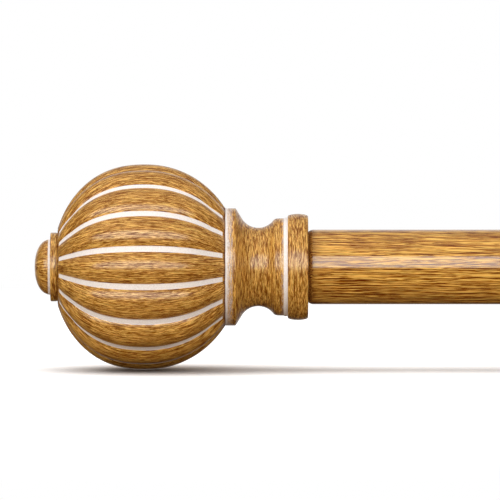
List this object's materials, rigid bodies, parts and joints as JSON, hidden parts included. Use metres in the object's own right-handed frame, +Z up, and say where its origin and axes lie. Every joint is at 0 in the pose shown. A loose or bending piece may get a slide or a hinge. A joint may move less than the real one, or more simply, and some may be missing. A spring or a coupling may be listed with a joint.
{
  "type": "adjustable curtain rod with wall brackets",
  "caption": "Telescoping curtain rod with a fluted ball finial on each end, held by a pair of wall brackets with adjustable arms.",
  "frame": {"origin": "centre of the left bracket's wall plate on its back face, where it meets the wall", "axes": "+X along the rod from the left finial to the right one, +Y into the wall, +Z up"},
  "size_m": [0.9734, 0.1527, 0.0694],
  "materials": {
    "rod_wood_finish": "satin",
    "finial_wood_finish": "satin",
    "bracket_wood_finish": "satin",
    "zinc_steel": "zinc plated",
    "brass": "antique satin",
    "nylon": "moulded"
  },
  "bodies": {
    "left_base": {"left_wall_plate": "zinc_steel", "left_arm_socket": "bracket_wood_finish", "left_wall_screw_1": "zinc_steel", "left_wall_screw_2": "zinc_steel", "left_wall_screw_3": "zinc_steel", "left_wall_anchor_1": "nylon", "left_wall_anchor_2": "nylon", "left_wall_anchor_3": "nylon"},
    "left_rosette": {"left_cover": "finial_wood_finish"},
    "left_reach": {"left_arm": "bracket_wood_finish", "left_cradle": "bracket_wood_finish", "left_cradle_screw": "zinc_steel"},
    "left_reach_knob": {"left_arm_lock_screw": "brass"},
    "left_rod_knob": {"left_rod_lock_screw": "brass"},
    "right_base": {"right_wall_plate": "zinc_steel", "right_arm_socket": "bracket_wood_finish", "right_wall_screw_1": "zinc_steel", "right_wall_screw_2": "zinc_steel", "right_wall_screw_3": "zinc_steel", "right_wall_anchor_1": "nylon", "right_wall_anchor_2": "nylon", "right_wall_anchor_3": "nylon"},
    "right_rosette": {"right_cover": "finial_wood_finish"},
    "right_reach": {"right_arm": "bracket_wood_finish", "right_cradle": "bracket_wood_finish", "right_cradle_screw": "zinc_steel"},
    "right_reach_knob": {"right_arm_lock_screw": "brass"},
    "right_rod_knob": {"right_rod_lock_screw": "brass"},
    "outer_rod": {"outer_tube": "rod_wood_finish", "left_tube_plug": "nylon", "left_plug_nut": "zinc_steel"},
    "left_finial": {"left_finial_neck": "finial_wood_finish", "left_finial_ball": "finial_wood_finish", "left_finial_button": "finial_wood_finish", "left_finial_stud": "zinc_steel"},
    "inner_rod": {"inner_tube": "rod_wood_finish", "glide_bush": "nylon", "right_tube_plug": "nylon", "right_plug_nut": "zinc_steel"},
    "right_finial": {"right_finial_neck": "finial_wood_finish", "right_finial_ball": "finial_wood_finish", "right_finial_button": "finial_wood_finish", "right_finial_stud": "zinc_steel"}
  },
  "joints": [
    {"name": "projection", "type": "slide", "parent": "left_base", "child": "left_reach", "axis": [0, -1, 0], "range_m": [0, 0.0254]},
    {"name": "rod_lift", "type": "slide", "parent": "left_reach", "child": "outer_rod", "axis": [0, 0, 1], "range_m": [0, 0.04]},
    {"name": "rod_extend", "type": "slide", "parent": "outer_rod", "child": "inner_rod", "axis": [1, 0, 0], "range_m": [-0.0762, 0.4318]},
    {"name": "right_bracket_shift", "type": "slide", "parent": "left_base", "child": "right_base", "axis": [1, 0, 0], "range_m": [-0.0762, 0.4318]},
    {"name": "right_projection", "type": "slide", "parent": "right_base", "child": "right_reach", "axis": [0, -1, 0], "range_m": [0, 0.0254]},
    {"name": "left_finial_off", "type": "slide", "parent": "outer_rod", "child": "left_finial", "axis": [-1, 0, 0], "range_m": [0, 0.03]},
    {"name": "right_finial_off", "type": "slide", "parent": "inner_rod", "child": "right_finial", "axis": [1, 0, 0], "range_m": [0, 0.03]},
    {"name": "left_cover_slide", "type": "slide", "parent": "left_base", "child": "left_rosette", "axis": [0, -1, 0], "range_m": [0, 0.015]},
    {"name": "left_rod_knob_turn", "type": "hinge", "parent": "left_reach", "child": "left_rod_knob", "pos_m": [0, -0.0889, -0.02], "axis": [0, 0, -1], "range_deg": [0, 1080]},
    {"name": "left_reach_knob_turn", "type": "hinge", "parent": "left_base", "child": "left_reach_knob", "pos_m": [0, -0.038, -0.01], "axis": [0, 0, -1], "range_deg": [0, 1080]},
    {"name": "right_cover_slide", "type": "slide", "parent": "right_base", "child": "right_rosette", "axis": [0, -1, 0], "range_m": [0, 0.015]},
    {"name": "right_rod_knob_turn", "type": "hinge", "parent": "right_reach", "child": "right_rod_knob", "pos_m": [0.5474, -0.0889, -0.02], "axis": [0, 0, -1], "range_deg": [0, 1080]},
    {"name": "right_reach_knob_turn", "type": "hinge", "parent": "right_base", "child": "right_reach_knob", "pos_m": [0.5474, -0.038, -0.01], "axis": [0, 0, -1], "range_deg": [0, 1080]}
  ],
  "couplings": [
    {"joint": "right_bracket_shift", "follows": "rod_extend", "ratio": 1},
    {"joint": "right_projection", "follows": "projection", "ratio": 1}
  ]
}
